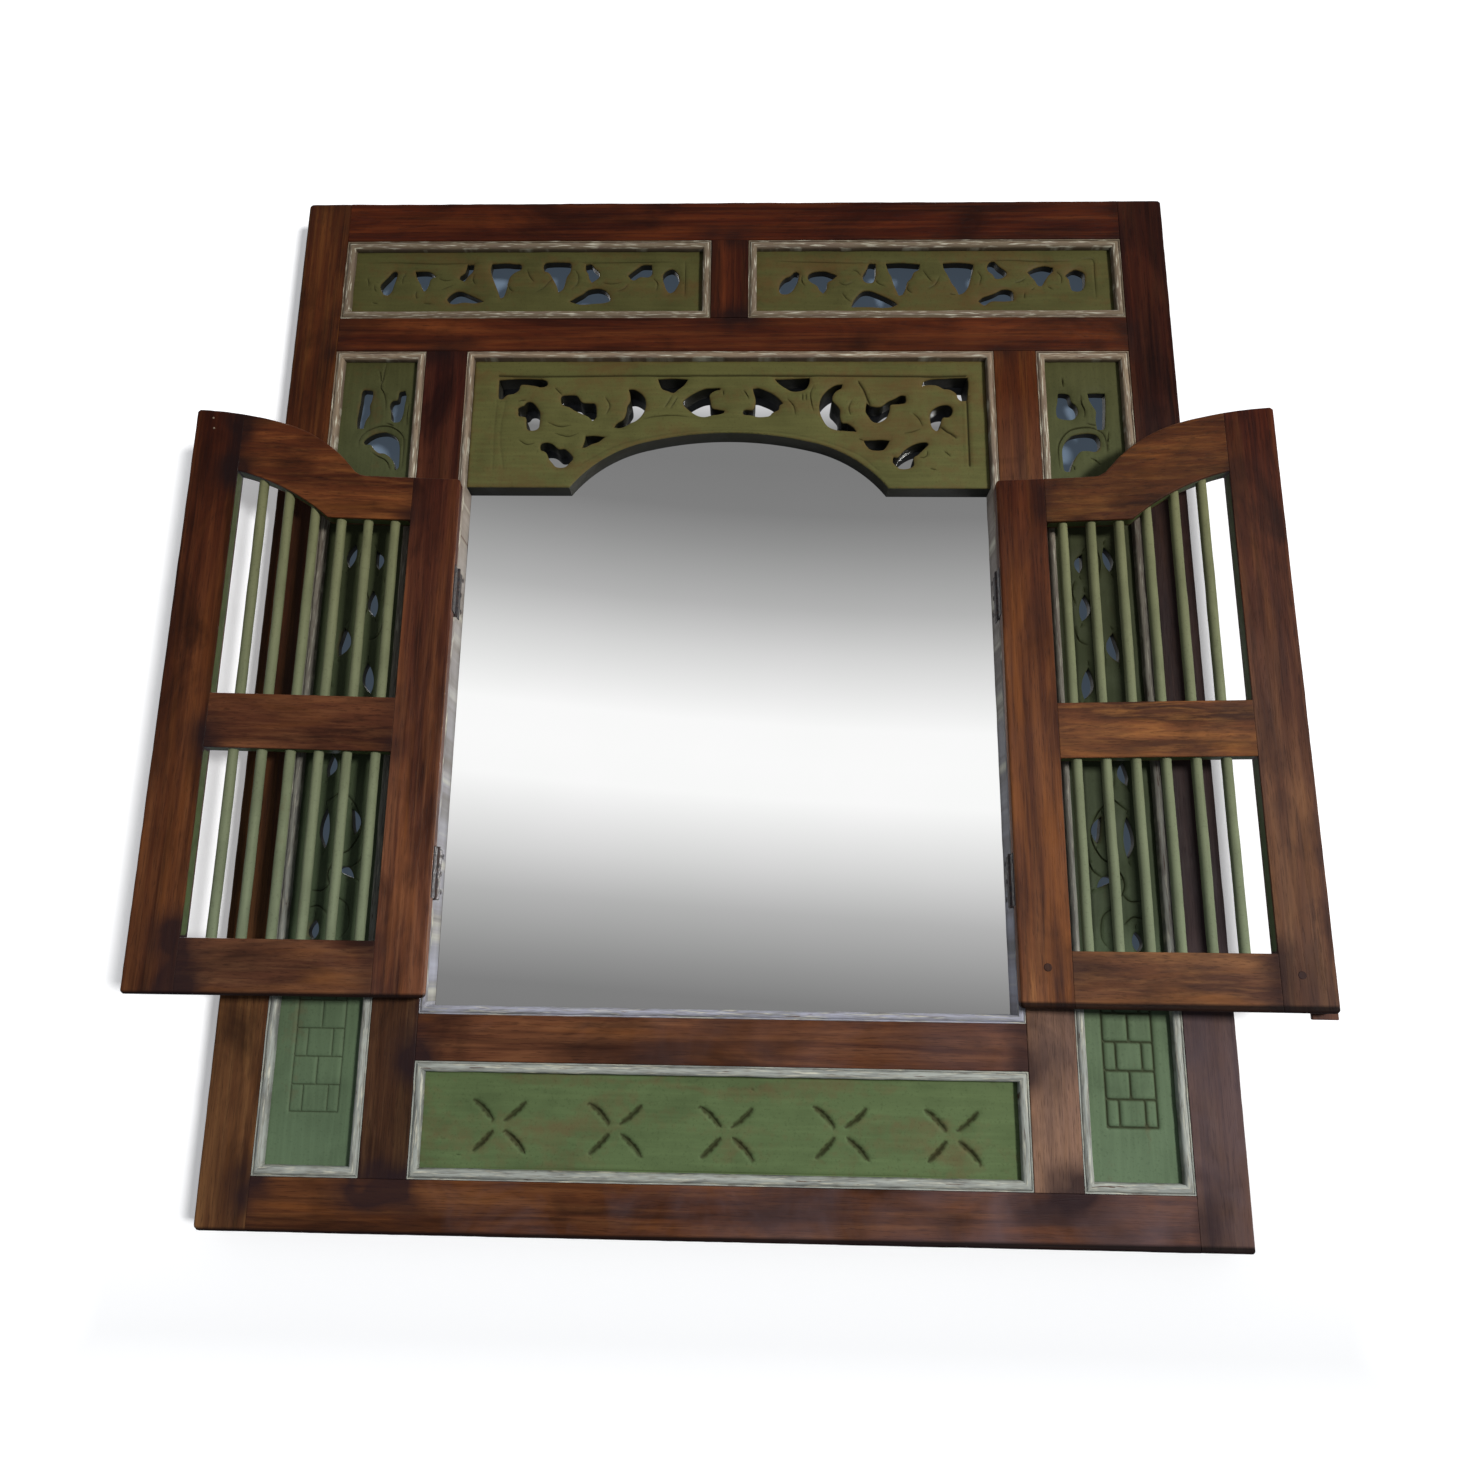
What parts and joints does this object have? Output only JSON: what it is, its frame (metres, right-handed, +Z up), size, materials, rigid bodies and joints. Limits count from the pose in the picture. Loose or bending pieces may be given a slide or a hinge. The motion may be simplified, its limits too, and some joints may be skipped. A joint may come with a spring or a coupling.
{
  "type": "shuttered wall mirror",
  "caption": "Wall mirror in a mortised wooden frame with pierced, painted fretwork panels, an arched header and hinged spindle shutters with curved tops that close over the glass.",
  "frame": {"origin": "centre of the top rail's back face, on the wall", "axes": "+Z up, front faces -Y, +X to the right as seen from the front"},
  "size_m": [1.1592, 0.0931, 1.131],
  "materials": {
    "teak": "dark reddish-brown stain, worn satin",
    "green_paint": "olive green paint, rubbed through to the wood",
    "cream_paint": "cream paint, worn and dirty",
    "mirror": "silvered plane glass",
    "backing": "bare board",
    "hinge_iron": "blackened steel"
  },
  "bodies": {
    "frame": {"left_stile": "teak", "right_stile": "teak", "top_rail": "teak", "second_rail": "teak", "sill_rail": "teak", "bottom_rail": "teak", "top_mullion": "teak", "left_inner_stile": "teak", "right_inner_stile": "teak", "top_left_panel": "green_paint", "top_right_panel": "green_paint", "header_panel": "green_paint", "left_side_panel": "green_paint", "right_side_panel": "green_paint", "bottom_panel": "green_paint", "top_left_bead": "cream_paint", "top_right_bead": "cream_paint", "left_side_bead": "cream_paint", "right_side_bead": "cream_paint", "bottom_bead": "cream_paint", "mirror_lining": "cream_paint", "mirror_glass": "mirror", "backing_board": "backing", "left_lower_hinge_frame_leaf": "hinge_iron", "left_lower_hinge_pin": "hinge_iron", "left_upper_hinge_frame_leaf": "hinge_iron", "left_upper_hinge_pin": "hinge_iron", "right_lower_hinge_frame_leaf": "hinge_iron", "right_lower_hinge_pin": "hinge_iron", "right_upper_hinge_frame_leaf": "hinge_iron", "right_upper_hinge_pin": "hinge_iron"},
    "left_shutter": {"left_shutter_hinge_stile": "teak", "left_shutter_meeting_stile": "teak", "left_shutter_top_rail": "teak", "left_shutter_mid_rail": "teak", "left_shutter_bottom_rail": "teak", "left_shutter_dowel_1": "green_paint", "left_shutter_dowel_2": "green_paint", "left_shutter_dowel_3": "green_paint", "left_shutter_dowel_4": "green_paint", "left_shutter_dowel_5": "green_paint", "left_shutter_dowel_6": "green_paint", "left_lower_hinge_shutter_leaf": "hinge_iron", "left_upper_hinge_shutter_leaf": "hinge_iron"},
    "right_shutter": {"right_shutter_hinge_stile": "teak", "right_shutter_meeting_stile": "teak", "right_shutter_top_rail": "teak", "right_shutter_mid_rail": "teak", "right_shutter_bottom_rail": "teak", "right_shutter_dowel_1": "green_paint", "right_shutter_dowel_2": "green_paint", "right_shutter_dowel_3": "green_paint", "right_shutter_dowel_4": "green_paint", "right_shutter_dowel_5": "green_paint", "right_shutter_dowel_6": "green_paint", "right_shutter_lap_strip": "teak", "right_lower_hinge_shutter_leaf": "hinge_iron", "right_upper_hinge_shutter_leaf": "hinge_iron"}
  },
  "joints": [
    {"name": "left_shutter_hinge", "type": "hinge", "parent": "frame", "child": "left_shutter", "pos_m": [-0.2895, -0.0422, -0.6133], "axis": [0, 0, 1], "range_deg": [-4.6, 175.4]},
    {"name": "right_shutter_hinge", "type": "hinge", "parent": "frame", "child": "right_shutter", "pos_m": [0.2895, -0.0422, -0.6133], "axis": [0, 0, 1], "range_deg": [-174.1, 5.9]}
  ]
}
